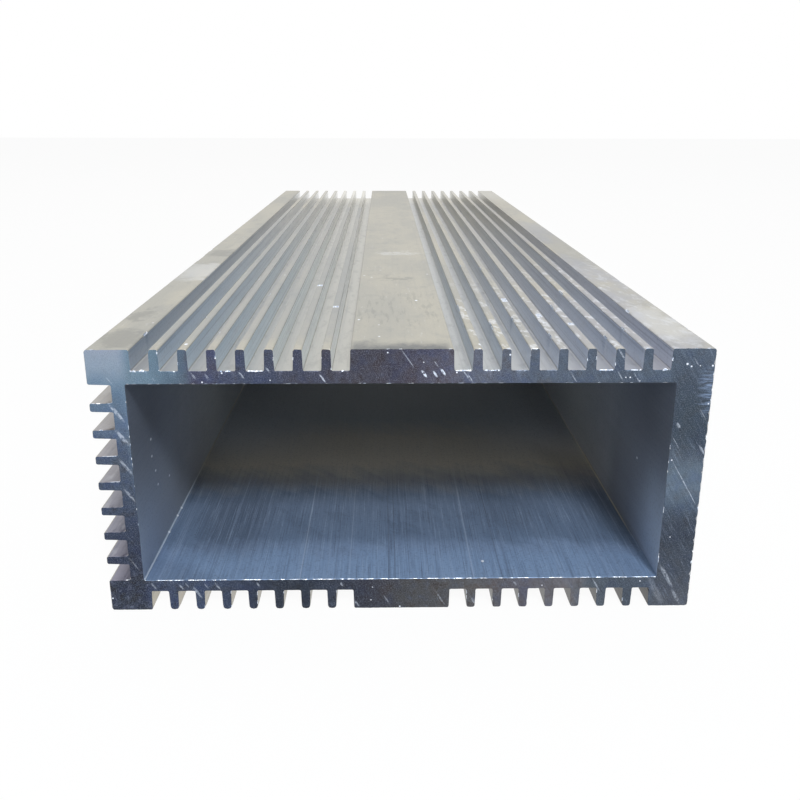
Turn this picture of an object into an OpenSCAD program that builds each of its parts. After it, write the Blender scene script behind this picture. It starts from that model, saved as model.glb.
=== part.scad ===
// Hollow finned heat sink, one aluminium extrusion sawn to length.
// A rectangular tube carries combs of fins on three sides; the fourth side is a
// plain thick wall. The top and bottom have a flat land along the middle.
// X is the width, Y the extrusion direction and Z the height. The origin is the
// centre of the bottom face.

/* [Body] */
// Width, from the side fin tips to the plain wall
body_w = 100; // [80:1:160]
// Height, over the top and bottom fins
body_h = 46.5; // [35:0.5:90]
// Sawn length
body_l = 300; // [50:10:600]

/* [Walls] */
// Thickness of the top and bottom webs under their fins
web_t = 2.1; // [1.5:0.1:4]
// Thickness of the web behind the side fins
side_web_t = 2.2; // [1.5:0.1:4]
// Thickness of the plain wall
plain_wall_t = 5.9; // [2:0.1:10]
// Width of the land along the middle of the top and bottom
land_w = 16.5; // [8:0.5:30]
// Width of the solid corner bars
corner_w = 7; // [6:0.5:12]
// Height of the solid corner bars on the finned side
corner_h = 5.8; // [4.5:0.1:9]

/* [Fins] */
// Height of the top and bottom fins
fin_h = 3.6; // [1.5:0.1:6]
// Height of the side fins
side_fin_h = 3.7; // [1.5:0.1:5.5]
// Pitch that the fins are spread at, as near as a whole number of fins allows
fin_pitch = 4.5; // [3.5:0.1:8]
// Thickness of a fin at its tip
fin_tip_t = 1.4; // [0.8:0.1:1.6]
// Thickness of a fin at its root
fin_root_t = 1.6; // [1.6:0.1:2.2]

/* [Edges] */
// Radius of the fin tips' edges
fin_tip_r = 0.3; // [0.1:0.05:0.35]
// Radius in the corners of the grooves' floors
groove_r = 0.25; // [0.1:0.05:0.5]
// Radius of the body's long outer edges
corner_r = 0.5; // [0.2:0.1:1.5]
// Radius of the cavity's long inner edges
cavity_r = 0.3; // [0.1:0.1:1.5]

/* [Hidden] */

// Faces along each rounded edge of the section
ARC_STEPS = 4;

// Thickness of a fin halfway up, which sets how the fins are spread
fin_t = (fin_tip_t + fin_root_t) / 2;

// Length of each comb: two on the top, two on the bottom and one on the side
top_comb = (body_w - land_w - 2 * corner_w) / 2;
side_comb = body_h - 2 * corner_h;

// How many fins a comb of this length holds
function fin_count(comb) = max(1, round((comb + fin_t) / fin_pitch) - 1);

// A corner of an outline is [x, y, radius]. These are the four corners of each
// groove of a comb that is cut into the line y = 0, in the order of increasing x.
// The grooves narrow towards their floors, because the fins thicken.
function comb_corners(start, comb, depth) =
    let (
        grooves = fin_count(comb) + 1,
        pitch = (comb + fin_t) / grooves,
        mouth = pitch - fin_tip_t,
        floor_w = pitch - fin_root_t
    )
    [
        for (i = [0 : grooves - 1])
            let (middle = start + (i + 0.5) * pitch - fin_t / 2)
                each [
                    [middle - mouth / 2, 0, fin_tip_r],
                    [middle - floor_w / 2, -depth, groove_r],
                    [middle + floor_w / 2, -depth, groove_r],
                    [middle + mouth / 2, 0, fin_tip_r]
                ]
    ];

// Corners of a finned face, from its outer edge at x = 0 to the next at x = length
function land_face() = concat(
    [[0, 0, corner_r]],
    comb_corners(corner_w, top_comb, fin_h),
    comb_corners(body_w - corner_w - top_comb, top_comb, fin_h)
);
function side_face() = concat(
    [[0, 0, corner_r]],
    comb_corners(corner_h, side_comb, side_fin_h)
);
function plain_face() = [[0, 0, corner_r]];

// Turns a face's corners by a clockwise angle and moves its start to a point
function place(corners, point, angle) = [
    for (c = corners) [
        point.x + c.x * cos(angle) + c.y * sin(angle),
        point.y - c.x * sin(angle) + c.y * cos(angle),
        c[2]
    ]
];

// The section's outline, clockwise from its top left corner
function outer_corners() =
    let (
        left = -body_w / 2,
        right = body_w / 2
    )
    concat(
        place(land_face(), [left, body_h], 0),
        place(plain_face(), [right, body_h], 90),
        place(land_face(), [right, 0], 180),
        place(side_face(), [left, 0], 270)
    );

// The cavity's outline, clockwise from its top left corner
function cavity_corners() =
    let (
        left = -body_w / 2 + side_fin_h + side_web_t,
        right = body_w / 2 - plain_wall_t,
        low = fin_h + web_t,
        high = body_h - fin_h - web_t
    )
    [
        [left, high, cavity_r],
        [right, high, cavity_r],
        [right, low, cavity_r],
        [left, low, cavity_r]
    ];

function flat(corner) = [corner.x, corner.y];
function unit(v) = v / norm(v);

// The points of an outline whose corners are rounded to their radii
function rounded(corners) =
    let (n = len(corners))
    [
        for (i = [0 : n - 1])
            each corner_arc(
                flat(corners[(i + n - 1) % n]),
                flat(corners[i]),
                flat(corners[(i + 1) % n]),
                corners[i][2]
            )
    ];

// The points of one rounded corner, from its first tangent point to its last
function corner_arc(before, corner, after, radius) =
    let (
        back = unit(before - corner),
        ahead = unit(after - corner),
        half = acos(back * ahead) / 2,
        centre = corner + unit(back + ahead) * radius / sin(half),
        first = corner + back * radius / tan(half) - centre,
        last = corner + ahead * radius / tan(half) - centre,
        sweep = 180 - 2 * half
    )
    [
        for (i = [0 : ARC_STEPS])
            let (t = i / ARC_STEPS)
                centre + (sin((1 - t) * sweep) * first + sin(t * sweep) * last) / sin(sweep)
    ];

module section() {
    difference() {
        polygon(rounded(outer_corners()));
        polygon(rounded(cavity_corners()));
    }
}

module heatsink_extrusion() {
    color("silver")
        rotate([90, 0, 0])
            linear_extrude(height = body_l, center = true)
                section();
}

heatsink_extrusion();
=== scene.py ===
import math
import random
from collections import namedtuple

import bmesh
import bpy
from mathutils import Matrix, Vector, noise


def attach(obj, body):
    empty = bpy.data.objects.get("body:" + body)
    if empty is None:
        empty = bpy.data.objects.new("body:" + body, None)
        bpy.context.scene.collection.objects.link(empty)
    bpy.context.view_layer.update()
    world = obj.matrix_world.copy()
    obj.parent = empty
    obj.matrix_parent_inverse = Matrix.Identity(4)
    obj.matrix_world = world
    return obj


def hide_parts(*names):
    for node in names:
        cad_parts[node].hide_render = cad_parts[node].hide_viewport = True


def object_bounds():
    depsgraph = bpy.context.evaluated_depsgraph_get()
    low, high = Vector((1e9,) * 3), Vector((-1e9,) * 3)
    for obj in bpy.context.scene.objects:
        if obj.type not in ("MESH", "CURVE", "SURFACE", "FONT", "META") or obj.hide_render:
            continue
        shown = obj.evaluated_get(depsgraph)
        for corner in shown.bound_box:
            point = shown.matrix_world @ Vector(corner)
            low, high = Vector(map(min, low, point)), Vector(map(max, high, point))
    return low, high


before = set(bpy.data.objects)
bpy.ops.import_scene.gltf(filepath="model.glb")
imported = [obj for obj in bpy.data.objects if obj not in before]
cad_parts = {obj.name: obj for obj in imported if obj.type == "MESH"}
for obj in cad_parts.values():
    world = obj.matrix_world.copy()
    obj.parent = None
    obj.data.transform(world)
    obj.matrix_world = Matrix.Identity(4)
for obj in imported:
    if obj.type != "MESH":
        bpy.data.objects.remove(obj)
CAD_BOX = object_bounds()

# The looks of the sawn extrusion. The skin is rebuilt round the imported node's own
# section, with the saw's burrs, the chipped edges and the dented fin tips as geometry.
# Die lines, saw marks, smudges and scratches are in the materials, and so are painted
# reflections, highlights and shade. Meshes are in metres, and the materials and the tables
# of marks are in mm.

MM = 0.001
NODE = "heatsink_extrusion"
LOW, HIGH = CAD_BOX
FRONT, REAR = LOW.y, HIGH.y
TOP = round(HIGH.z / MM, 3)  # the top's height in mm
END = round(REAR / MM, 3)  # from the middle to each cut in mm
WELD = 0.001 * MM
rng = random.Random(41)


# ---------------------------------------------------------------- section

# A strip is the flat face, or the facet of a rounded edge, between two points of the
# section. Its normal points out of the metal.
Strip = namedtuple("Strip", "start end normal width kind")


def section_outlines(node):
    """The front end's outlines as lists of (x, z) vectors, the outer one first.

    The metal is on their left.
    """
    mesh = bmesh.new()
    mesh.from_mesh(node.data)
    bmesh.ops.remove_doubles(mesh, verts=mesh.verts, dist=WELD)

    def is_cap(face):
        return all(v.co.y < FRONT + WELD for v in face.verts)

    follows = {}
    for face in filter(is_cap, mesh.faces):
        for corner in face.loops:
            if not all(is_cap(f) for f in corner.edge.link_faces):
                follows[corner.vert] = corner.link_loop_next.vert
    outlines = []
    while follows:
        start = next(iter(follows))
        outline, vert = [start], follows.pop(start)
        while vert is not start:
            outline.append(vert)
            vert = follows.pop(vert)
        outlines.append([Vector((v.co.x, v.co.z)) for v in outline])
    mesh.free()
    return sorted(outlines, key=lambda o: min(p.x for p in o))


# What tells the strips of the section apart
ALONG_AXIS = 0.9  # from this share on, a normal counts as pointing along an axis
FACET = 0.3 * MM  # narrower strips are facets of a rounded edge
NEAR_TIP = 0.5 * MM  # facets less deep are at a fin's tip, the others at a groove's floor
ON_PLANE = 0.1 * MM  # strips less deep are on an outer plane
FIN_TIP = 2 * MM  # wider strips on an outer plane are lands and corner bars
SIDE_COMB = 4 * MM  # how far in from the left the side comb reaches
CORNER_BAR = 5.5 * MM  # how high the bars under and over the side comb are


def kind_of(middle, normal, width, outer):
    """What a strip of the section belongs to."""
    level = abs(normal.y) > ALONG_AXIS
    if not outer:
        if level:
            return "cavity_floor" if normal.y > 0 else "cavity_ceiling"
        return "cavity_side"
    depth = min(middle.x - LOW.x, HIGH.x - middle.x, middle.y - LOW.z, HIGH.z - middle.y)
    if width < FACET:
        return "tip_edge" if depth < NEAR_TIP else "floor_edge"
    if depth < ON_PLANE:
        if width < FIN_TIP:
            return "fin_tip"
        return "plain_wall" if normal.x > ALONG_AXIS else "outer_face"
    if middle.x < LOW.x + SIDE_COMB and LOW.z + CORNER_BAR < middle.y < HIGH.z - CORNER_BAR:
        if not level:
            return "side_floor"
        return "ledge" if normal.y > 0 else "eave"
    comb = "top" if middle.y > (LOW.z + HIGH.z) / 2 else "low"
    return comb + ("_floor" if level else "_flank")


def strips_of(outline, outer):
    strips = []
    for start, end in zip(outline, outline[1:] + outline[:1]):
        along = (end - start).normalized()
        normal = Vector((along.y, -along.x))
        width = (end - start).length
        kind = kind_of((start + end) / 2, normal, width, outer)
        strips.append(Strip(start, end, normal, width, kind))
    return strips


# ------------------------------------------------------------------- skin

# Each kind of strip: its finish, and how the saw left its edge with the cut. In mm, how far
# the edge is worn back along the strip and how far into the cut, and how high its burr
# stands. Then the share of it that shows bright metal, and in mm how far apart its teeth are.
Kind = namedtuple("Kind", "finish back inset burr bright tooth")
KINDS = {
    "outer_face": Kind("outer_face", 0.07, 0.06, 0.00, 0.10, 0.5),
    "plain_wall": Kind("outer_face", 0.08, 0.12, 0.00, 0.18, 0.26),
    "fin_tip": Kind("outer_face", 0.07, 0.07, 0.00, 0.20, 0.4),
    "tip_edge": Kind("outer_face", 0.06, 0.05, 0.00, 0.05, 0.4),
    "floor_edge": Kind("groove_floor", 0.05, 0.05, 0.01, 0.08, 0.4),
    "top_flank": Kind("groove", 0.06, 0.14, 0.02, 0.05, 0.25),
    "low_flank": Kind("groove", 0.06, 0.07, 0.02, 0.04, 0.35),
    "top_floor": Kind("groove_floor", 0.07, 0.08, 0.10, 0.08, 0.28),
    "low_floor": Kind("groove_floor", 0.06, 0.05, 0.02, 0.03, 0.5),
    "side_floor": Kind("groove_floor", 0.06, 0.05, 0.02, 0.02, 0.5),
    "ledge": Kind("groove", 0.08, 0.06, 0.02, 0.15, 0.3),
    "eave": Kind("groove", 0.06, 0.05, 0.01, 0.02, 0.5),
    "cavity_floor": Kind("cavity", 0.06, 0.05, 0.03, 0.6, 0.3),
    "cavity_ceiling": Kind("cavity", 0.06, 0.07, 0.01, 0.25, 0.4),
    "cavity_side": Kind("cavity", 0.06, 0.06, 0.02, 0.06, 0.35),
}
FINISHES = ("outer_face", "groove", "groove_floor", "cavity", "sawn_end", "bare_metal")
# Kinds of strip whose worn rim keeps their own finish. The others' rims look like the cut.
KEEPS_RIM = ("outer_face", "plain_wall", "fin_tip", "tip_edge", "ledge", "cavity_floor")
# Top grooves whose burr is bright: x in mm and how much of it
BRIGHT_GROOVES = (
    (-41.5, 0.3), (-23.1, 0.9), (9.7, 0.95), (14.3, 0.7), (32.6, 0.75), (37.2, 0.3), (41.7, 0.4),
)
# Flakes that stand up from that burr: x, height and half width in mm
FLAKES = (
    (-42.4, 0.20, 0.25), (-41.2, 0.28, 0.40), (-27.6, 0.12, 0.30),
    (11.6, 0.20, 0.35), (15.9, 0.22, 0.30), (42.0, 0.24, 0.30),
)
ROWS = ((1.6 * MM, 4), (6 * MM, 16))  # rows behind a sawn edge: their distance and coarseness
RIM_WAVES = 2.3  # how fine the wear of a rim is, in waves per mm
RIM_WANDER = 1.3  # how much the wear of a rim varies in those waves
# The least and most of a tooth's wear into the cut, its wear back, and its burr
INSET_SCATTER, BACK_SCATTER, BURR_SCATTER = (0.6, 1.1), (0.5, 1.3), (0.5, 1.2)
BRIGHT_WAVES = 1.1  # how fine the dashes of bright metal are, in waves per mm
WALL_TOOTH = 1.05 * MM  # half the pitch of the teeth along the plain wall's edge
TOOTH_ROOT, TOOTH_HEIGHT = 0.4, 1.6  # how far those teeth are worn in, as shares of the inset
BRIGHT_BURR, DULL_BURR = 1.2, 0.3  # how high a burr stands where it is bright and where not

# How the blade's exit rolled up the tips of the lower fins
ROLL_HEIGHT = 0.9 * MM  # how far up the fins it shows
ROLL_REACH = 1.2 * MM  # points further from every tip stay
HALF_TIP = 0.75 * MM  # from a tip's middle to its corner
ROLLED_MOST, ROLLED_LEAST = 0.5 * MM, 0.18 * MM  # how far, left and right of ROLL_EASES
ROLL_EASES = -8 * MM

EDGE_POINTS = 5  # section points of a rounded edge
EDGE_MIDDLE = 0.1 * MM  # how far below the top the middle of its rounded edges is
# Along a dent: the way from its middle as a share of its length, and the share of its depth
DENT_STATIONS = ((-0.5, 0), (-0.15, 1), (0.2, 0.7), (0.5, 0))
DENTED = 0.02 * MM  # a tip pressed further in shows bare metal
# Nicks in the top's edges: x, y, length and depth in mm, and which way they are pressed
TOP_NICKS = (
    (-23.9, -23, 2.4, 0.25, (-1, -1)), (-31.0, -88, 2.6, 0.3, (-1, -1)),
    (-26.6, -105, 2.0, 0.3, (-1, -1)), (-40.0, 7, 3.0, 0.25, (-1, -1)),
    (-30.7, -139, 1.6, 0.25, (1, -1)), (-35.3, -127, 1.5, 0.2, (1, -1)),
    (-43.0, -139, 2.5, 0.3, (-1, -1)), (-49.9, -58, 9.0, 0.4, (1, -1)),
    (-49.9, -44, 4.0, 0.3, (1, -1)), (-16.9, -96, 1.8, 0.2, (1, -1)),
    (-12.3, -118, 1.6, 0.2, (1, -1)), (10.8, -119, 6.0, 0.25, (1, -1)),
    (15.4, -70, 3.0, 0.25, (1, -1)), (15.4, -134, 5.0, 0.3, (1, -1)),
    (20.0, -74, 4.0, 0.25, (1, -1)), (21.4, -112, 3.5, 0.25, (-1, -1)),
    (20.0, -128, 2.5, 0.3, (1, -1)), (24.6, -141, 3.0, 0.3, (1, -1)),
    (25.9, -126, 2.5, 0.2, (-1, -1)), (29.2, -118, 4.0, 0.25, (1, -1)),
    (30.5, -133, 2.0, 0.25, (-1, -1)), (33.8, -104, 4.0, 0.25, (1, -1)),
    (33.8, -142, 2.5, 0.3, (1, -1)), (38.4, -136, 2.0, 0.25, (1, -1)),
    (43.1, -122, 2.5, 0.25, (1, -1)), (49.9, -92, 4.0, 0.3, (-1, -1)),
    (49.9, -137, 2.0, 0.3, (-1, -1)),
)


def ragged(point, fineness):
    """A steady value from about -0.6 to 0.6 that wanders along the cut's edges."""
    return noise.noise(Vector((point.x, point.y, 0)) * (fineness / MM))


def is_bright(point, share):
    """Whether bare metal shows at a point, in dashes that cover this share of an edge."""
    spread = 0.14  # of the noise's values
    return ragged(point, BRIGHT_WAVES) > spread * math.log((1 - share) / share)


def bright_share(strip):
    """How much of a strip's sawn edge shows bright metal."""
    usual = KINDS[strip.kind].bright
    if strip.kind != "top_floor":
        return usual
    x = (strip.start.x + strip.end.x) / 2 / MM
    return max((share for place, share in BRIGHT_GROOVES if abs(place - x) < 1), default=usual)


class Skin:
    """The extrusion's surface: one closed mesh, built strip by strip along its outlines."""

    OUTER = 0  # the outer outline's number, before the cavity's

    def __init__(self, outlines):
        self.mesh = bmesh.new()
        self.loops = [strips_of(o, n == self.OUTER) for n, o in enumerate(outlines)]
        outer = self.loops[self.OUTER]
        self.tips = [(s.start + s.end) / 2 for s in outer if s.kind == "fin_tip"]
        self.dents = {}
        self.pressed = set()

    def vert(self, point, y):
        return self.mesh.verts.new((point.x, y, point.y))

    def face(self, corners, finish):
        self.mesh.faces.new(corners).material_index = FINISHES.index(finish)

    def stitch(self, a, b, finish):
        """Fills between two rows of (place along the row, vertex).

        The outward side is that of the face a0, a1, b1, b0.
        """
        if len(a) == len(b):
            for n in range(len(a) - 1):
                self.face((a[n][1], a[n + 1][1], b[n + 1][1], b[n][1]), finish)
            return
        i = j = 0
        while i < len(a) - 1 or j < len(b) - 1:
            if j == len(b) - 1 or (i < len(a) - 1 and a[i + 1][0] <= b[j + 1][0]):
                self.face((a[i][1], a[i + 1][1], b[j][1]), finish)
                i += 1
            else:
                self.face((a[i][1], b[j + 1][1], b[j][1]), finish)
                j += 1

    def row(self, strips, coarseness, place):
        """One row of vertices round an outline: a list per strip, each with both its ends."""
        corners = []
        for before, strip in zip(strips[-1:] + strips[:-1], strips):
            normal = (before.normal + strip.normal).normalized()
            corners.append(place(strip.start, normal, strip))
        found = []
        for n, strip in enumerate(strips):
            teeth = round(strip.width / (KINDS[strip.kind].tooth * MM))
            steps = max(1, teeth // coarseness)
            inner = [
                (k / steps, place(strip.start.lerp(strip.end, k / steps), strip.normal, strip))
                for k in range(1, steps)
            ]
            found.append([(0, corners[n]), *inner, (1, corners[(n + 1) % len(strips)])])
        return found

    def rolled(self, point):
        """How far a point moves up with a rolled tip. The tips' corners move most."""
        tip = min(self.tips, key=lambda middle: (middle - point).length)
        if point.y > LOW.z + ROLL_HEIGHT or (tip - point).length > ROLL_REACH:
            return Vector((0, 0))
        aside = min(1, abs(tip.x - point.x) / HALF_TIP)
        most = ROLLED_MOST if tip.x < ROLL_EASES else ROLLED_LEAST
        return Vector((0, most * (1 - math.sqrt(1 - aside**2)) * (1 - point.y / ROLL_HEIGHT)))

    def sawn_end(self, strips, y, inward):
        """Rows from the cut's rim to the plain length of the skin. Returns the last and the rim."""

        def rim(point, normal, strip):
            inset = KINDS[strip.kind].inset * MM * (1 + RIM_WANDER * ragged(point, RIM_WAVES))
            inset *= rng.uniform(*INSET_SCATTER)
            if strip.kind == "plain_wall":
                tooth = 0.5 + 0.5 * math.cos(point.y / WALL_TOOTH * math.pi)
                inset *= TOOTH_ROOT + TOOTH_HEIGHT * tooth**2
            return self.vert(point - normal * inset + self.rolled(point), y)

        def lip(point, normal, strip):
            kind = KINDS[strip.kind]
            back = kind.back * MM * rng.uniform(*BACK_SCATTER)
            bright = is_bright(point, bright_share(strip))
            burr = kind.burr * (BRIGHT_BURR if bright else DULL_BURR) * rng.uniform(*BURR_SCATTER)
            if strip.kind == "top_floor":
                burr += sum(h * math.exp(-(((point.x / MM - x) / w) ** 2)) for x, h, w in FLAKES)
            return self.vert(point + normal * burr * MM + self.rolled(point), y + inward * back)

        def shows_bright(point, strip):
            if is_bright(point, bright_share(strip)):
                return True
            on_flake = any(abs(point.x / MM - x) < w for x, _, w in FLAKES)
            return strip.kind == "top_floor" and on_flake

        rows = [self.row(strips, 1, rim), self.row(strips, 1, lip)]
        for distance, coarseness in ROWS:
            behind = y + inward * distance
            rows.append(self.row(strips, coarseness, lambda p, n, s, at=behind: self.vert(p, at)))
        for n, strip in enumerate(strips):
            finish = KINDS[strip.kind].finish
            rim_finish = finish if strip.kind in KEEPS_RIM else "sawn_end"
            for outside, inside in zip(rows, rows[1:]):
                a, b = (inside[n], outside[n]) if inward > 0 else (outside[n], inside[n])
                if outside is not rows[0]:
                    self.stitch(a, b, finish)
                    continue
                for k in range(len(a) - 1):
                    middle = strip.start.lerp(strip.end, (a[k][0] + a[k + 1][0]) / 2)
                    bright = shows_bright(middle, strip)
                    self.stitch(a[k : k + 2], b[k : k + 2], "bare_metal" if bright else rim_finish)
        return rows[-1], rows[0]

    def close_end(self, rims, y):
        """Fills the cut between the rims of the outer outline and the cavity."""
        chosen = {v for rim in rims for strip in rim for _, v in strip[:-1]}
        edges = [e for e in self.mesh.edges if e.is_boundary and chosen.issuperset(e.verts)]
        made = bmesh.ops.triangle_fill(self.mesh, use_beauty=True, use_dissolve=False, edges=edges)
        for face in made["geom"]:
            if isinstance(face, bmesh.types.BMFace):
                face.material_index = FINISHES.index("sawn_end")
                face.normal_update()
                if face.normal.y * y < 0:
                    face.normal_flip()

    def dent(self, place, y, length, depth, towards):
        """Presses in the rounded edge nearest to a place (x, z), round y.

        The edge's first and last points hold still, so that the flats beside it stay flat.
        """
        strips = self.loops[self.OUTER]
        nearest = min(range(len(strips)), key=lambda n: (strips[n].start - place).length)
        reach = EDGE_POINTS // 2
        for n in range(-reach, reach + 1):
            across = math.cos(math.pi / 2 * n / reach)
            stations = self.dents.setdefault((self.OUTER, (nearest + n) % len(strips)), {})
            for way, share in DENT_STATIONS:
                offset = Vector(towards) * depth * MM * share * across
                stations[round((y + way * length) * MM, 6)] = offset

    def build(self):
        """Makes both ends, and the plain length between them with its dents."""
        ends = []
        for y, inward in ((FRONT, 1), (REAR, -1)):
            made = [self.sawn_end(strips, y, inward) for strips in self.loops]
            ends.append([inner for inner, _ in made])
            self.close_end([rim for _, rim in made], y)
        for number, strips in enumerate(self.loops):
            rails = {}
            for n, strip in enumerate(strips):
                stations = self.dents.get((number, n), {})
                rails[n] = [(y, self.vert(strip.start + stations[y], y)) for y in sorted(stations)]
                self.pressed.update(v for y, v in rails[n] if stations[y].length > DENTED)
            for n, strip in enumerate(strips):
                front, rear = ends[0][number][n], ends[1][number][n]
                columns = [[(v.co.y, v) for _, v in pair] for pair in zip(front, rear)]
                for column, rail in ((columns[0], n), (columns[-1], (n + 1) % len(strips))):
                    column[1:1] = rails[rail]
                first = len(self.mesh.faces)
                for a, b in zip(columns, columns[1:]):
                    self.stitch(a, b, KINDS[strip.kind].finish)
                if strip.kind in ("fin_tip", "tip_edge"):
                    for face in list(self.mesh.faces)[first:]:
                        if self.pressed.intersection(face.verts):
                            face.material_index = FINISHES.index("bare_metal")
        self.mesh.normal_update()


SHARP = math.radians(32)  # steeper edges are drawn sharp


def build_skin(outlines):
    skin = Skin(outlines)
    for x, y, length, depth, towards in TOP_NICKS:
        skin.dent(Vector((x * MM, HIGH.z - EDGE_MIDDLE)), y, length, depth, towards)
    skin.build()
    data = bpy.data.meshes.new("heatsink_skin")
    skin.mesh.to_mesh(data)
    skin.mesh.free()
    piece = bpy.data.objects.new("heatsink_skin", data)
    bpy.context.scene.collection.objects.link(piece)
    data.shade_smooth()
    data.set_sharp_from_angle(angle=SHARP)
    piece.modifiers.new("flat_faces", "WEIGHTED_NORMAL").keep_sharp = True
    return piece


# -------------------------------------------------------------- materials


def srgb(*levels):
    """A linear colour from display levels of 0 to 255."""
    linear = [((v / 255 + 0.055) / 1.055) ** 2.4 if v > 10 else v / 255 / 12.92 for v in levels]
    return (*linear, 1)


SOFT_FROM = 0.45  # the share of a blob's radius from which it falls to 0
SHAKE = (9, 22, 0)  # how far noise moves a patch's border about, in mm


class Finish:
    """Nodes of one material. Inputs are numbers, colours or nodes' outputs. Places are in mm."""

    def __init__(self, name):
        self.material = bpy.data.materials.new(name)
        self.material.use_nodes = True
        self.tree = self.material.node_tree
        self.tree.nodes.clear()
        coordinates = self.add("TexCoord").outputs["Object"]
        self.mm = self.add("VectorMath", {0: coordinates, 3: 1 / MM}, operation="SCALE").outputs[0]
        split = self.add("SeparateXYZ", {0: self.mm})
        self.x, self.y, self.z = split.outputs
        self.shaken = None

    def add(self, kind, inputs=None, **settings):
        node = self.tree.nodes.new("ShaderNode" + kind)
        for name, value in settings.items():
            setattr(node, name, value)
        for name, value in (inputs or {}).items():
            if isinstance(value, bpy.types.NodeSocket):
                self.tree.links.new(value, node.inputs[name])
            else:
                node.inputs[name].default_value = value
        return node

    def math(self, operation, a, b=0.0):
        return self.add("Math", {0: a, 1: b}, operation=operation).outputs[0]

    def vector(self, operation, a, b):
        return self.add("VectorMath", {0: a, 1: b}, operation=operation).outputs[0]

    def length(self, a):
        return self.add("VectorMath", {0: a}, operation="LENGTH").outputs[1]

    def stretched(self, x, y, z):
        """The place in mm, scaled by a factor along each axis."""
        return self.vector("MULTIPLY", self.mm, (x, y, z))

    def noise(self, place, scale, detail=3.0, roughness=0.55, output=0):
        inputs = {"Vector": place, "Scale": scale, "Detail": detail, "Roughness": roughness}
        return self.add("TexNoise", inputs).outputs[output]

    def step(self, value, low, high):
        """0 below low, 1 above high and smooth between. With low above high it falls."""
        limits = {0: value, 1: low, 2: high}
        return self.add("MapRange", limits, interpolation_type="SMOOTHSTEP").outputs[0]

    def mix(self, amount, a, b, blend="MIX"):
        found = self.add("Mix", {0: amount, 6: a, 7: b}, data_type="RGBA", blend_type=blend)
        return found.outputs[2]

    def tint(self, colour, mask, share, other, blend="MIX"):
        """Mixes a share of another colour into a colour where the mask is 1."""
        return self.mix(self.scaled(mask, share), colour, other, blend)

    def ramp(self, value, low, high, *stops):
        """Colours along a length in mm. The stops are (place, red, green, blue)."""
        share = self.add("MapRange", {0: value, 1: low, 2: high}).outputs[0]
        node = self.add("ValToRGB", {0: share})
        elements = node.color_ramp.elements
        while len(elements) < len(stops):
            elements.new(0.5)
        for element, (place, *levels) in zip(elements, stops):
            element.position = (place - low) / (high - low)
            element.color = srgb(*levels)
        return node.outputs[0]

    def scaled(self, value, factor):
        return self.math("MULTIPLY", value, factor)

    def plus(self, *values):
        total = values[0]
        for value in values[1:]:
            total = self.math("ADD", total, value)
        return total

    def all_of(self, *masks):
        found = masks[0]
        for mask in masks[1:]:
            found = self.math("MULTIPLY", found, mask)
        return found

    def union(self, *masks):
        found = masks[0]
        for mask in masks[1:]:
            found = self.math("MAXIMUM", found, mask)
        return found

    def band(self, value, start, end, soft):
        """1 from start to end, with soft borders."""
        rise = self.step(value, start - soft, start + soft)
        return self.all_of(rise, self.step(value, end + soft, end - soft))

    def blob(self, place, middle, radii):
        """1 in the middle of an ellipsoid and 0 outside it."""
        away = self.vector("SUBTRACT", place, middle)
        away = self.vector("MULTIPLY", away, tuple(1 / r for r in radii))
        return self.step(self.length(away), 1, SOFT_FROM)

    def patch(self, middle, radii):
        """A blob with a ragged border."""
        if self.shaken is None:
            shake = self.noise(self.mm, 0.25, detail=4.0, roughness=0.7, output=1)
            centred = self.vector("SUBTRACT", shake, (0.5, 0.5, 0.5))
            self.shaken = self.vector("ADD", self.mm, self.vector("MULTIPLY", centred, SHAKE))
        return self.blob(self.shaken, middle, radii)

    def slanted(self, slope):
        """The place in mm, drawn out along a diagonal of the floor."""
        across = self.plus(self.x, self.scaled(self.y, slope))
        along = self.scaled(self.plus(self.y, self.scaled(self.x, -slope)), 0.35)
        return self.add("CombineXYZ", {0: across, 1: along, 2: self.z}).outputs[0]

    def specks(self, place, per_mm, share, size):
        """Sparse dots: which share of the cells holds one, and its size in cells."""
        cells = self.add("TexVoronoi", {"Vector": place, "Scale": per_mm})
        draw = self.add("SeparateColor", {0: cells.outputs["Color"]}).outputs[0]
        chosen = self.math("GREATER_THAN", draw, 1 - share)
        return self.all_of(chosen, self.step(cells.outputs["Distance"], size, size / 2))

    def finish(self, colour, height, depth, metallic, roughness):
        bump = self.add("Bump", {"Height": height, "Distance": depth * MM, "Strength": 1.0})
        inputs = {"Base Color": colour, "Metallic": metallic, "Roughness": roughness}
        shader = self.add("BsdfPrincipled", {**inputs, "Normal": bump.outputs[0]})
        self.add("OutputMaterial", {0: shader.outputs[0]})
        return self.material


def die_lines(f, fineness):
    """Streaks along the extrusion, as tall as 0 to 1."""
    return f.noise(f.stretched(1, 0.004, 1), fineness, detail=4, roughness=0.7)


# Colours that several finishes share
BEIGE = srgb(168, 166, 157)
CREAM = srgb(180, 176, 163)
LILAC = srgb(168, 169, 174)
PEWTER = srgb(142, 143, 142)
SOOT = srgb(70, 74, 78)
SPARK = srgb(238, 242, 250)


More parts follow.
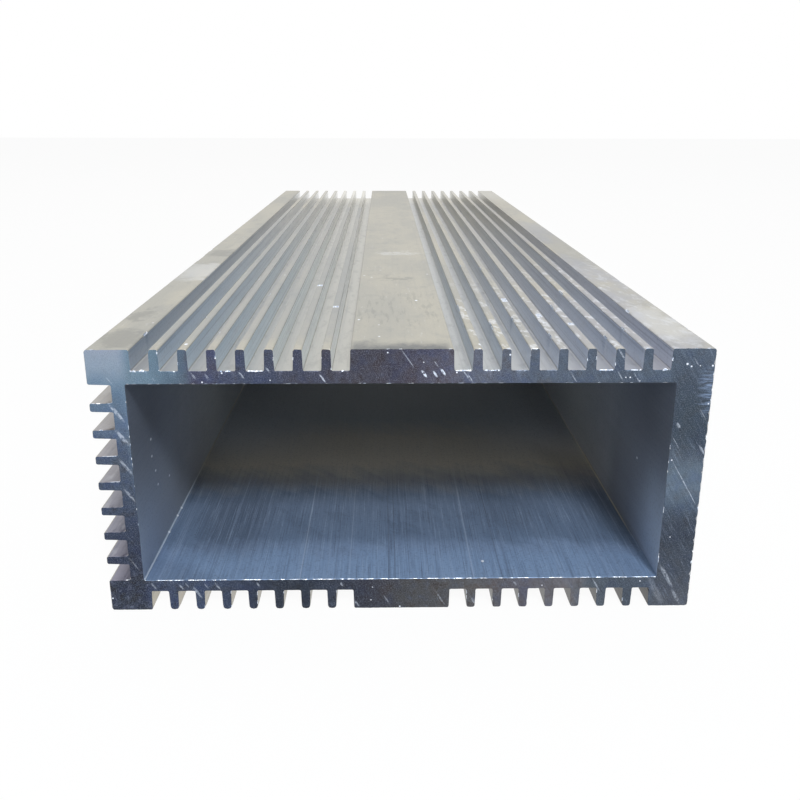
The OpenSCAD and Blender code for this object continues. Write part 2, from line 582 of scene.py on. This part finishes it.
def outer_face():
    """The planes that stood against the die's mouth, the bench and the neighbours in the stack."""
    f = Finish("outer_face")
    on_top = f.step(f.z, TOP - 0.5, TOP - 0.2)
    lines = die_lines(f, 1.2)
    clouds = f.noise(f.stretched(1, 0.35, 1), 0.07, detail=4)
    patches = f.noise(f.stretched(1, 0.6, 1), 0.35, detail=5, roughness=0.65)
    grain = f.noise(f.mm, 2.6, detail=2)
    scuffs = f.noise(f.stretched(1, 0.12, 1), 1.1, detail=3, roughness=0.7)

    colour = f.mix(f.all_of(f.step(f.x, 5, 48), f.step(f.y, 70, -60)), BEIGE, LILAC)
    # Cream clouds of the metal's own tone, made stronger on the top as a painted warm reflection
    cloud_and_warm_top_share = f.plus(0.3, f.scaled(on_top, 0.7))
    colour = f.tint(colour, f.step(clouds, 0.42, 0.62), cloud_and_warm_top_share, CREAM)
    colour = f.tint(colour, f.step(patches, 0.5, 0.3), 0.35, PEWTER)
    drawn = f.plus(0.5, f.scaled(on_top, -0.32))
    colour = f.tint(colour, f.step(lines, 0.5, 0.25), drawn, PEWTER)
    colour = f.tint(colour, f.step(grain, 0.55, 0.2), 0.30, PEWTER)
    colour = f.tint(colour, f.step(scuffs, 0.62, 0.8), 0.22, SPARK)

    # The fins' tips are duller than the land, apart from their rear ends, brightened by painted
    # reflection
    left_tips = f.all_of(on_top, f.band(f.x, -41, -9.5, 0.8), f.band(f.y, -144, 70, 5))
    right_tips = f.all_of(on_top, f.band(f.x, 27, 41, 3), f.band(f.y, -90, 80, 15))
    colour = f.tint(colour, left_tips, 0.4, srgb(138, 144, 152))
    colour = f.tint(colour, right_tips, 0.5, PEWTER)
    off_land = f.step(f.math("ABSOLUTE", f.x), 9, 10)
    rear_tips_reflection = f.all_of(on_top, off_land, f.step(f.x, -43, -42), f.step(f.y, 80, 135))
    rear_share = f.plus(0.35, f.scaled(f.band(f.x, -24, 0, 4), 0.5))
    colour = f.tint(colour, rear_tips_reflection, rear_share, srgb(232, 230, 222))
    dull_bar = f.all_of(f.step(f.x, 43, 44), f.band(f.y, -70, 0, 12))
    colour = f.tint(colour, dull_bar, 0.4, PEWTER)

    # Oily dust behind the front edge of the land, and dirt further back on it
    on_land = f.all_of(on_top, f.band(f.x, -8, 7.5, 0.8))
    oil = f.all_of(on_land, f.step(f.plus(f.y, f.scaled(patches, 9)), -138.5, -145.5))
    colour = f.tint(colour, oil, 0.72, srgb(66, 74, 84))
    dirt = f.all_of(on_land, f.band(f.y, -134, -104, 3), f.step(scuffs, 0.47, 0.36))
    colour = f.tint(colour, dirt, 0.2, SOOT)

    # Handling marks on the corner bars, and patches of painted sheen on the bars and the land
    smudges = f.union(
        f.patch((-46.5, -143, TOP), (5.0, 9.0, 1)),
        f.patch((-47.5, -125, TOP), (2.6, 7.0, 1)),
        f.patch((-46.0, -50, TOP), (5.0, 7.0, 1)),
        f.patch((0, -88, TOP), (5.0, 3.0, 1)),
    )
    colour = f.tint(colour, smudges, 0.3, SOOT)
    # Painted sheen
    painted_sheen = f.union(
        f.patch((-46.0, -78, TOP), (6.5, 15.0, 1)),
        f.patch((1.5, -50, TOP), (7.0, 3.0, 1)),
        f.patch((46.0, -132, TOP), (5.5, 19.0, 1)),
    )
    colour = f.tint(colour, painted_sheen, 0.24, SPARK)

    # The tips of the right comb, rubbed bright towards the front
    on_comb = f.all_of(on_top, f.band(f.x, 10, 50, 0.3))
    rubbed = f.all_of(on_comb, f.step(f.plus(f.y, f.scaled(f.x, -1.4)), -95, -155))
    worn = f.noise(f.slanted(0.25), 0.45, detail=4, roughness=0.75)
    worn = f.all_of(rubbed, f.step(worn, 0.5, 0.62))
    colour = f.tint(colour, worn, f.scaled(f.step(f.x, 44, 41), 0.4), SPARK)
    colour = f.tint(colour, worn, 0.22, SPARK)
    # Painted glints: sparse white specks on the top towards the front
    painted_glints = f.all_of(
        on_top, f.step(f.y, -60, -110), f.specks(f.stretched(1, 0.6, 1), 0.55, 0.09, 0.2)
    )
    colour = f.mix(painted_glints, colour, SPARK)

    height = f.plus(lines, f.scaled(grain, 0.4), f.scaled(worn, -0.6))
    return f.finish(colour, height, depth=0.03, metallic=0.5, roughness=0.45)


def towards_rear(f):
    """From 0 at the sawn front to 1 behind the middle, where the flanks' painted reflection is
    brightest.
    """
    return f.add("MapRange", {0: f.y, 1: -END, 2: 50.0}).outputs[0]


def groove():
    """The fins' flanks. Which way a comb faces shows in their painted reflections and painted
    shade.
    """
    f = Finish("groove")
    lines = die_lines(f, 2.2)
    grain = f.noise(f.mm, 2.2, detail=2)
    mottle = f.noise(f.stretched(1, 0.2, 1), 0.5, detail=4, roughness=0.65)
    # Painted reflections: bluish white on the top combs' flanks, brighter towards the rear, and
    # dark under the right comb
    top = f.ramp(
        f.x, -50, 50,
        (-43.5, 187, 196, 207), (-41.5, 202, 217, 232), (-25, 221, 234, 244), (-20, 243, 250, 253),
        (-9, 252, 254, 255), (8, 202, 212, 222), (26, 209, 218, 232), (40, 212, 221, 234),
        (42.5, 218, 223, 234),
    )
    painted_rear_reflection = f.ramp(
        f.x, -50, 50,
        (-43, 232, 232, 230), (-40, 248, 248, 246), (-10, 255, 254, 250), (8, 222, 220, 213),
    )
    top = f.mix(towards_rear(f), top, painted_rear_reflection)
    under = f.ramp(f.x, -50, 50, (-44, 178, 170, 150), (-8, 150, 146, 134), (8, 34, 33, 30))
    side = f.ramp(
        f.z, 0, TOP,
        (5, 134, 132, 148), (18, 140, 140, 152), (30, 160, 157, 161), (40, 174, 170, 164),
    )
    colour = f.mix(f.step(f.z, 10, 30), under, top)
    colour = f.mix(f.step(f.x, -46.1, -46.4), colour, side)
    drawn_dark = srgb(96, 104, 122)
    colour = f.tint(colour, f.step(lines, 0.52, 0.3), 0.35, drawn_dark)
    colour = f.tint(colour, f.step(mottle, 0.52, 0.7), 0.35, srgb(205, 208, 212))
    colour = f.tint(colour, f.step(grain, 0.5, 0.25), 0.2, drawn_dark)
    # Painted shade low on the right comb
    in_shade = f.all_of(f.step(f.z, 10, 8), f.step(f.x, 7, 8))
    colour = f.mix(in_shade, colour, srgb(140, 136, 126), "MULTIPLY")
    # Painted glints: sparse white specks towards the front
    painted_glints = f.all_of(f.specks(f.stretched(1, 0.6, 1), 0.45, 0.05, 0.2), f.step(f.y, -60, -110))
    colour = f.mix(painted_glints, colour, SPARK)
    height = f.plus(lines, f.scaled(grain, 0.3))
    return f.finish(colour, height, depth=0.03, metallic=0.8, roughness=0.32)


def groove_floor():
    f = Finish("groove_floor")
    lines = die_lines(f, 2.0)
    mottle = f.noise(f.stretched(1, 0.3, 1), 0.6, detail=4, roughness=0.65)
    colour = f.ramp(
        f.x, -50, 50,
        (-40, 172, 171, 170), (-10, 182, 181, 174), (12, 188, 190, 190), (42, 170, 170, 178),
    )
    colour = f.tint(colour, f.step(lines, 0.5, 0.3), 0.3, srgb(140, 142, 146))
    colour = f.tint(colour, f.step(mottle, 0.5, 0.32), 0.3, srgb(120, 122, 122))
    # Painted reflection: paler towards the rear on the top grooves' floors
    pale = f.all_of(f.step(f.y, 110, 150), f.step(f.z, 30, 40))
    colour = f.tint(colour, pale, 0.5, srgb(228, 224, 210))
    return f.finish(colour, lines, depth=0.03, metallic=0.7, roughness=0.35)


def cavity():
    """The bore. Its mouths carry a painted blue reflection, with painted shade behind it, a warm
    painted reflection further in and painted light towards the middle.
    """
    f = Finish("cavity")
    depth = f.math("SUBTRACT", END, f.math("ABSOLUTE", f.y))
    aside = f.math("ABSOLUTE", f.x)
    on_floor = f.step(f.z, 6.2, 5.9)
    lines = die_lines(f, 1.3)
    hairs = f.noise(f.stretched(1, 0.014, 1), 6.0, detail=4, roughness=0.7)
    grain = f.noise(f.mm, 2.4, detail=2)
    smear = f.noise(f.slanted(0.9), 0.16, detail=4, roughness=0.6)
    ragged_depth = f.plus(depth, f.scaled(smear, 14), f.scaled(lines, 5))

    # The floor along the depth: painted blue reflection near the mouth, painted shade from about 25
    # mm, and a warm painted reflection from about 54 to 78 mm
    floor = f.ramp(
        ragged_depth, 0, 120,
        (17, 132, 157, 191), (21, 128, 150, 182), (25, 107, 127, 154), (44, 109, 125, 148),
        (54, 143, 147, 152), (62, 184, 180, 168), (78, 184, 179, 166), (92, 156, 163, 165),
        (115, 149, 157, 162),
    )
    # Painted light on the floor's sides deep in
    painted_light_deep_sides = f.all_of(f.step(aside, 10, 40), f.step(depth, 48, 75))
    floor = f.tint(floor, painted_light_deep_sides, 0.9, srgb(205, 208, 211))
    dull_strip = f.all_of(f.band(f.x, -38, -26, 4), f.band(depth, 9, 34, 5))
    floor = f.tint(floor, dull_strip, 0.38, srgb(70, 78, 92))
    # Shade in both corners of the mouth, and a wedge of it along the right wall
    left_corner = f.step(f.plus(f.x, f.scaled(depth, 1.1)), -28, -36)
    right_edge = f.plus(f.x, f.scaled(depth, 0.24))
    wedge = f.all_of(f.step(right_edge, 44.0, 50.0), f.step(depth, 8, 14), f.step(depth, 70, 50))
    shade = f.union(
        f.scaled(left_corner, 0.55), f.scaled(wedge, 0.6), f.scaled(f.step(f.x, 30, 43), 0.3)
    )
    floor = f.mix(shade, floor, srgb(190, 188, 190), "MULTIPLY")

    # The walls: painted blue reflection near the mouth and painted light deep in
    walls = f.ramp(
        ragged_depth, 0, 120, (12, 142, 156, 178), (40, 152, 157, 166), (80, 208, 212, 213)
    )
    dull = srgb(84, 86, 92)
    shaded = f.all_of(f.step(f.z, 9, 32), f.step(depth, 38, 10))
    walls = f.tint(walls, shaded, 0.7, dull)
    # Painted shade on the right wall
    shaded_right_wall = f.all_of(f.step(f.x, 40, 44), f.band(depth, 16, 34, 5), f.step(f.z, 26, 14))
    walls = f.tint(walls, shaded_right_wall, 0.3, dull)
    lit = f.all_of(f.step(f.x, 40, 44), f.step(depth, 14, 5), f.step(f.z, 28, 12))
    walls = f.tint(walls, lit, 0.6, srgb(176, 194, 216))
    colour = f.mix(on_floor, walls, floor)

    # Die lines show on the floor as far in as daylight reaches
    near = f.step(depth, 52, 34)
    share = f.plus(0.05, f.scaled(f.all_of(on_floor, near), 0.25))
    colour = f.tint(colour, f.step(lines, 0.48, 0.3), share, srgb(70, 80, 100))
    colour = f.tint(colour, f.step(lines, 0.52, 0.7), f.scaled(share, 0.8), srgb(168, 186, 214))
    colour = f.tint(colour, f.step(hairs, 0.48, 0.32), f.scaled(share, 1.6), srgb(66, 76, 96))
    colour = f.tint(colour, f.step(hairs, 0.54, 0.68), f.scaled(share, 1.5), srgb(168, 186, 212))
    colour = f.tint(colour, f.step(grain, 0.5, 0.25), 0.3, srgb(60, 68, 84))
    smears = f.all_of(f.step(smear, 0.49, 0.36), f.band(depth, 12, 44, 4), f.band(f.x, -26, 20, 5))
    dark_spot = f.patch((21, -122, 5.7), (9, 11, 1))
    colour = f.tint(colour, f.union(smears, dark_spot), 0.2, srgb(62, 70, 84))
    scores = f.union(
        f.band(f.x, -17.6, -17.4, 0.12),
        f.band(f.x, 12.4, 12.6, 0.15),
        f.band(f.x, -9.1, -9.0, 0.1),
    )
    colour = f.tint(colour, f.all_of(scores, on_floor, near), 0.4, srgb(190, 204, 226))
    pits = f.union(
        f.band(f.x, -2.3, -2.1, 0.12),
        f.band(f.x, -1.2, -1.0, 0.1),
        f.band(f.x, 17.3, 17.5, 0.12),
        f.band(f.x, 20.9, 21.0, 0.1),
    )
    colour = f.tint(colour, f.all_of(pits, on_floor, near), 0.4, srgb(52, 58, 74))

    # The seams between the floor and the walls, and the nicks beside them
    beside = f.add("CombineXYZ", {0: aside, 2: f.z}).outputs[0]
    seam = f.blob(beside, (44.05, 0, 5.75), (0.25, 1, 0.25))
    blue_seam = f.all_of(f.step(f.x, 1, -1), f.step(depth, 62, 36))
    seam_colour = f.mix(blue_seam, srgb(178, 172, 150), srgb(214, 224, 234))
    open_seam = f.all_of(seam, f.union(f.step(f.x, 1, -1), f.step(depth, 12, 26)))
    colour = f.tint(colour, open_seam, 0.6, seam_colour)
    nicks = [
        f.blob(f.mm, place, (0.35, 0.5, 0.3))
        for place in (
            (-44, -121, 5.8), (-44, -124.6, 5.8), (-44, -131.8, 5.8), (-44.1, -138, 27),
            (-44.1, -138.3, 23.9), (-44.1, -136.7, 20.5), (-44.1, -127.7, 15.7),
            (-44.1, -136, 17.5), (14.6, -144, 5.7), (44.1, -133, 21),
        )
    ]
    colour = f.mix(f.union(*nicks), colour, SPARK)
    height = f.plus(lines, f.scaled(hairs, 0.4))
    return f.finish(colour, height, depth=0.03, metallic=0.2, roughness=0.5)


# The blade's strokes are arcs round this centre, as (x, z) in mm, at about this radius
SAW = (-503, -304)
SAW_RADIUS = 600


def saw_arc(x, z):
    """A point of the cut as its radius from the saw's centre and its way along the arc, in mm."""
    right, up = x - SAW[0], z - SAW[1]
    return math.hypot(right, up), math.atan2(up, right) * SAW_RADIUS


# Scores in the cut that show by themselves: middle (x, z), half width, half length, strength.
# The widths take in the marks' soft borders.
SCORES = (
    (-45.8, 36.0, 0.50, 2.3, 0.75), (-45.3, 31.8, 0.52, 2.3, 0.65), (-45.2, 26.7, 0.44, 2.3, 0.55),
    (-45.1, 21.7, 0.38, 2.1, 0.50), (-45.4, 8.8, 0.22, 2.2, 0.30), (-46.3, 41.2, 0.16, 1.4, 0.40),
    (3.5, 42.4, 0.32, 0.85, 2.4), (5.3, 42.3, 0.30, 0.75, 2.4), (6.5, 42.7, 0.30, 0.85, 2.4),
    (0.8, 45.0, 0.16, 2.3, 0.55), (5.4, 44.0, 0.18, 0.75, 0.6), (10.3, 42.0, 0.22, 1.2, 0.9),
    (10.9, 41.6, 0.20, 1.0, 0.75), (-12.7, 41.7, 0.26, 1.0, 0.9), (-25.5, 42.2, 0.26, 0.85, 0.8),
    (-21.3, 43.1, 0.24, 0.7, 0.8), (-33.1, 42.1, 0.24, 0.9, 0.7), (-31.0, 42.0, 0.30, 0.8, 0.45),
    (-39.4, 41.6, 0.20, 0.45, 0.5), (27.4, 41.8, 0.16, 1.3, 0.6), (34.8, 42.1, 0.16, 1.4, 0.55),
    (37.6, 41.6, 0.14, 1.2, 0.5), (35.0, 45.3, 0.22, 1.6, 0.75), (46.9, 44.3, 0.18, 0.8, 0.6),
    (45.1, 33.5, 0.42, 0.6, 0.7), (47.2, 23.1, 0.14, 5.4, 0.8), (45.0, 30.4, 0.14, 2.1, 0.45),
    (48.9, 35.4, 0.16, 1.6, 0.4), (49.4, 29.2, 0.34, 1.1, 0.6), (45.8, 5.8, 0.55, 2.9, 0.55),
    (47.8, 1.8, 0.50, 1.9, 0.5), (44.2, 2.9, 0.95, 3.6, 0.22), (-37.8, 4.4, 0.28, 0.8, 0.55),
    (-36.8, 4.7, 0.22, 0.7, 0.5), (-35.1, 3.3, 0.34, 1.7, 0.6), (-33.5, 4.5, 0.22, 0.8, 0.4),
    (-31.6, 4.5, 0.28, 1.0, 0.55), (-42.5, 4.6, 0.30, 1.0, 0.4), (-24.6, 4.7, 0.28, 0.7, 0.5),
    (-10.3, 4.7, 0.34, 0.5, 0.6), (-7.8, 1.0, 0.34, 1.0, 0.55), (-2.5, 1.5, 0.20, 1.5, 0.45),
    (6.6, 2.0, 0.22, 2.1, 0.45), (12.5, 1.2, 0.40, 0.9, 0.45), (33.7, 4.2, 0.22, 1.6, 0.5),
    (19.6, 4.6, 0.34, 0.6, 0.35),
)
SCORE_STRENGTH = 0.75  # what all those strengths are scaled by
# Bright nicks in the cut: middle (x, z) and half width, which takes in their soft borders
NICKS = (
    (45.5, 43.9, 0.30), (46.2, 43.5, 0.22), (47.6, 43.6, 0.16), (44.6, 27.4, 0.20),
    (45.7, 13.3, 0.17), (-28.6, 42.6, 0.22), (-21.0, 41.4, 0.16), (-2.3, 45.9, 0.20),
    (17.1, 45.5, 0.25), (20.3, 45.4, 0.20), (35.8, 41.7, 0.16), (36.5, 41.7, 0.20),
    (-49.7, 2.3, 0.22), (-5.3, 1.6, 0.18), (-5.0, 4.1, 0.14), (24.3, 4.2, 0.18),
    (41.3, 4.9, 0.20), (49.6, 43.6, 0.26), (49.6, 37.2, 0.20), (8.7, 42.6, 0.20),
    (3.4, 44.3, 0.15), (-42.9, 43.0, 0.26), (-31.8, 41.1, 0.22), (38.1, 41.1, 0.14),
    (-0.3, 0.3, 0.22),
)
CORE = 0.8  # the share of those half widths without the soft borders


def sawn_end():
    """The cut: painted reflections that cloud from pale teal to dark purple, under the blade's
    strokes.
    """
    f = Finish("sawn_end")
    centred = f.vector("ADD", f.mm, (-SAW[0], 0, -SAW[1]))
    radius = f.length(f.vector("MULTIPLY", centred, (1, 0, 1)))
    across, _, up = f.add("SeparateXYZ", {0: centred}).outputs
    along = f.scaled(f.math("ARCTAN2", up, across), SAW_RADIUS)
    drawn = {0: radius, 1: f.scaled(along, 0.07), 2: f.scaled(f.y, 0.05)}
    arcs = f.add("CombineXYZ", drawn).outputs[0]

    clouds = f.noise(f.mm, 0.18, detail=4)
    wander = f.scaled(f.plus(clouds, -0.5), 8)
    x = f.plus(f.x, f.all_of(wander, f.step(f.x, -34, -26)))
    z = f.plus(f.z, f.scaled(wander, 0.6))
    # Painted reflections across the cut, by height and beside the cavity
    top = f.ramp(
        x, -54, 54,
        (-50, 121, 138, 160), (-46, 113, 134, 153), (-43, 102, 125, 142), (-40, 98, 122, 140),
        (-37, 78, 100, 119), (-34.4, 76, 92, 110), (-33.4, 66, 68, 92), (-25, 56, 66, 89),
        (-15, 56, 59, 77), (-6, 57, 56, 68), (1, 61, 60, 76), (8, 78, 78, 94),
        (12, 85, 91, 107), (20, 77, 88, 104), (38, 69, 82, 98), (48, 74, 88, 103),
    )
    low = f.ramp(
        x, -54, 54,
        (-46, 34, 42, 62), (-42, 50, 62, 84), (-33, 52, 66, 91), (-28, 38, 50, 73),
        (-22, 22, 32, 48), (-16, 22, 34, 51), (-11, 38, 46, 62), (-7, 36, 39, 53),
        (-3, 53, 53, 61), (1, 61, 62, 64), (12, 80, 80, 82), (20, 85, 84, 93),
        (29, 100, 99, 104), (32, 78, 87, 97), (38, 63, 74, 87), (45, 72, 83, 98),
    )
    left = f.ramp(
        z, -2, 50,
        (1, 36, 44, 60), (5, 30, 39, 58), (11, 34, 44, 66), (17, 44, 56, 79),
        (23, 60, 73, 93), (29, 65, 79, 99), (33, 80, 98, 122), (39, 88, 111, 134),
        (41, 103, 126, 147), (44, 132, 148, 165), (46.5, 140, 151, 169),
    )
    right = f.ramp(
        z, -2, 50,
        (1, 72, 78, 88), (7, 58, 67, 80), (13, 45, 55, 69), (16, 48, 58, 73),
        (19, 70, 85, 102), (22, 90, 106, 123), (25, 87, 103, 119), (28, 73, 85, 99),
        (31, 51, 64, 78), (37, 50, 63, 76), (41, 60, 72, 87), (46, 73, 86, 102),
    )
    colour = f.mix(f.step(f.z, 14, 32), low, top)
    colour = f.mix(f.step(f.x, -43, -45), colour, left)
    colour = f.mix(f.step(f.x, 42.5, 44.5), colour, right)
    at_front = f.step(f.y, 1, -1)
    rear = f.ramp(x, -54, 54, (-50, 96, 108, 124), (40, 78, 80, 92))
    colour = f.mix(at_front, rear, colour)

    # The corner of pale painted reflection was cut clean. Towards the plain wall the blade's
    # strokes show most.
    clean = f.all_of(f.step(f.x, -32.5, -36), f.step(f.z, 30, 40))
    to_wall = f.step(f.x, 4, 42)
    strokes_share = f.plus(0.4, f.scaled(to_wall, 0.6), f.scaled(clean, -0.3))
    rough_corner = f.all_of(f.step(f.x, -36, -44), f.step(f.z, 12, 4))
    blotch_share = f.plus(
        0.85, f.scaled(to_wall, -0.45), f.scaled(clean, -0.7), f.scaled(rough_corner, 0.9)
    )
    grain = f.noise(f.mm, 2.6, detail=3, roughness=0.7)
    mottled = f.noise(f.mm, 0.8, detail=4, roughness=0.65)
    hue = f.noise(f.mm, 0.4, detail=3)
    strokes = f.noise(arcs, 3.4, detail=4, roughness=0.8)
    bands = f.noise(arcs, 0.6, detail=2)
    for value, limits, share, other, blend in (
        (hue, (0.5, 0.66), blotch_share, srgb(218, 228, 255), "MULTIPLY"),
        (hue, (0.5, 0.34), blotch_share, srgb(255, 238, 222), "MULTIPLY"),
        (mottled, (0.5, 0.34), f.scaled(blotch_share, 0.5), srgb(165, 160, 175), "MULTIPLY"),
        (mottled, (0.55, 0.75), f.scaled(blotch_share, 0.22), srgb(118, 130, 154), "MIX"),
        (grain, (0.5, 0.3), f.scaled(blotch_share, 0.6), srgb(160, 156, 176), "MULTIPLY"),
        (grain, (0.54, 0.74), f.scaled(blotch_share, 0.3), srgb(132, 144, 168), "MIX"),
        (bands, (0.5, 0.3), f.scaled(strokes_share, 0.4), srgb(165, 165, 175), "MULTIPLY"),
        (strokes, (0.46, 0.3), f.scaled(strokes_share, 0.6), srgb(150, 152, 165), "MULTIPLY"),
        (strokes, (0.54, 0.72), f.scaled(strokes_share, 0.36), srgb(140, 156, 178), "MIX"),
    ):
        colour = f.tint(colour, f.step(value, *limits), share, other, blend)
    pale_blots = f.all_of(f.step(mottled, 0.5, 0.66), rough_corner)
    colour = f.tint(colour, pale_blots, 0.22, srgb(104, 108, 124))
    fine = f.noise(f.mm, 6.5, detail=1)
    colour = f.tint(colour, f.step(fine, 0.5, 0.7), 0.22, srgb(160, 168, 184))
    colour = f.tint(colour, f.step(fine, 0.5, 0.3), 0.3, srgb(150, 150, 160), "MULTIPLY")

    scores = []
    place = f.add("CombineXYZ", {0: radius, 1: along}).outputs[0]
    for middle_x, middle_z, width, length, strength in SCORES:
        score = f.blob(place, (*saw_arc(middle_x, middle_z), 0), (width * CORE, length, 1))
        scores.append(f.scaled(score, strength * SCORE_STRENGTH))
    broken = f.step(f.noise(f.mm, 2.2, detail=3, roughness=0.7), 0.34, 0.56)
    bundled = f.plus(0.35, f.scaled(f.step(f.noise(arcs, 6.0, detail=2), 0.36, 0.58), 0.65))
    scores = f.all_of(f.union(*scores), broken, bundled, at_front)
    fringe = f.all_of(
        f.step(f.x, 47.0, 49.6),
        f.band(f.z, 36, 42.5, 1.5),
        f.step(f.noise(f.stretched(0.3, 1, 2.2), 1.2), 0.42, 0.62),
    )
    nicks = [
        f.blob(f.mm, (nick_x, -END, nick_z), (size * CORE, 9, size * CORE))
        for nick_x, nick_z, size in NICKS
    ]
    dust = f.specks(f.mm, 0.8, 0.04, 0.12)
    colour = f.tint(colour, f.all_of(fringe, at_front), 0.6, srgb(140, 162, 196))
    colour = f.mix(scores, colour, srgb(212, 222, 238))
    colour = f.mix(f.union(*nicks, dust), colour, srgb(225, 232, 244))
    height = f.plus(strokes, f.scaled(grain, 0.4))
    return f.finish(colour, height, depth=0.03, metallic=0.55, roughness=0.38)


def bare_metal():
    f = Finish("bare_metal")
    grain = f.step(f.noise(f.mm, 3.0, detail=3), 0.35, 0.65)
    colour = f.mix(grain, srgb(160, 178, 205), srgb(250, 252, 255))
    return f.finish(colour, grain, depth=0.02, metallic=0.5, roughness=0.35)


# ------------------------------------------------------------------ stage


def shows_as_white(tree, shader, share):
    """Mixes a white glow into a shader where the camera, or metal or glass, looks at it."""
    nodes, links = tree.nodes, tree.links
    path = nodes.new("ShaderNodeLightPath")
    seen = path.outputs["Is Camera Ray"]
    for other in ("Is Glossy Ray", "Is Transmission Ray"):
        either = nodes.new("ShaderNodeMath")
        either.operation = "MAXIMUM"
        links.new(seen, either.inputs[0])
        links.new(path.outputs[other], either.inputs[1])
        seen = either.outputs[0]
    part = nodes.new("ShaderNodeMath")
    part.operation = "MULTIPLY"
    part.inputs[1].default_value = share
    links.new(seen, part.inputs[0])
    glow = "Background" if shader.type == "BACKGROUND" else "Emission"
    white = nodes.new("ShaderNode" + glow)
    mixed = nodes.new("ShaderNodeMixShader")
    links.new(part.outputs[0], mixed.inputs[0])
    links.new(shader.outputs[0], mixed.inputs[1])
    links.new(white.outputs[0], mixed.inputs[2])
    white.inputs["Color"].default_value = (1, 1, 1, 1)
    white.inputs["Strength"].default_value = 1
    return mixed.outputs[0]


FLOOR_SIZE = 3  # metres
FLOOR_GAP = 0.02 * MM  # under the part, so that they don't share a plane
FLOOR_GLOW = 0.94  # how white the floor shows. The rest of it shows the part's shadow.
AIR_STRENGTH = 0.42


def add_floor():
    mesh = bmesh.new()
    bmesh.ops.create_grid(mesh, x_segments=1, y_segments=1, size=FLOOR_SIZE)
    data = bpy.data.meshes.new("floor")
    mesh.to_mesh(data)
    mesh.free()
    floor = bpy.data.objects.new("floor", data)
    floor.location.z = LOW.z - FLOOR_GAP
    bpy.context.scene.collection.objects.link(floor)
    paint = bpy.data.materials.new("floor_paint")
    paint.use_nodes = True
    tree = paint.node_tree
    tree.nodes.clear()
    matt = tree.nodes.new("ShaderNodeBsdfDiffuse")
    matt.inputs["Color"].default_value = (0.9, 0.9, 0.9, 1)
    output = tree.nodes.new("ShaderNodeOutputMaterial")
    tree.links.new(shows_as_white(tree, matt, FLOOR_GLOW), output.inputs[0])
    data.materials.append(paint)


def add_world():
    world = bpy.data.worlds.new("studio")
    bpy.context.scene.world = world
    world.use_nodes = True
    tree = world.node_tree
    tree.nodes.clear()
    air = tree.nodes.new("ShaderNodeBackground")
    air.inputs["Color"].default_value = (0.95, 0.97, 1.0, 1)
    air.inputs["Strength"].default_value = AIR_STRENGTH
    output = tree.nodes.new("ShaderNodeOutputWorld")
    tree.links.new(shows_as_white(tree, air, 1.0), output.inputs[0])


def add_lamp(name, place, aim, size, power, colour):
    light = bpy.data.lights.new(name, "AREA")
    light.size = size
    light.energy = power
    light.color = colour
    lamp = bpy.data.objects.new(name, light)
    lamp.location = place
    lamp.rotation_euler = (Vector(aim) - Vector(place)).to_track_quat("-Z", "Y").to_euler()
    bpy.context.scene.collection.objects.link(lamp)


# The photo's viewing angle: place in metres, heading, tilt and roll in degrees, lens in mm
CAMERA_PLACE = (-0.00296, -0.28351, 0.08162)
CAMERA_TURNS = ((-1.121, "Z"), (71.921, "X"), (0.136, "Z"))
CAMERA_LENS = 39.37


def add_camera():
    data = bpy.data.cameras.new("camera")
    data.lens = CAMERA_LENS
    data.sensor_width = 36
    data.clip_start = 0.01
    camera = bpy.data.objects.new("camera", data)
    camera.matrix_world = Matrix.Translation(CAMERA_PLACE)
    for angle, axis in CAMERA_TURNS:
        camera.matrix_world @= Matrix.Rotation(math.radians(angle), 4, axis)
    bpy.context.scene.collection.objects.link(camera)
    bpy.context.scene.camera = camera


skin = build_skin(section_outlines(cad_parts[NODE]))
for make in (outer_face, groove, groove_floor, cavity, sawn_end, bare_metal):  # as FINISHES
    skin.data.materials.append(make())
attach(skin, "root")
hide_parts(NODE)

add_floor()
add_world()
add_lamp(
    "overhead", place=(-0.1, 0.45, 1.0), aim=(0, 0.1, 0), size=0.8, power=2,
    colour=(1.0, 0.95, 0.88),
)
add_lamp(
    "low_warm", place=(-0.1, -1.0, 0.55), aim=(0, -0.1, 0.02), size=0.25, power=2.4,
    colour=(1.0, 0.93, 0.82),
)
add_lamp(
    "front", place=(0.18, -0.87, 0.75), aim=(0, -0.15, 0.02), size=0.18, power=8,
    colour=(0.88, 0.94, 1.0),
)
add_camera()
bpy.context.scene.view_settings.view_transform = "Standard"
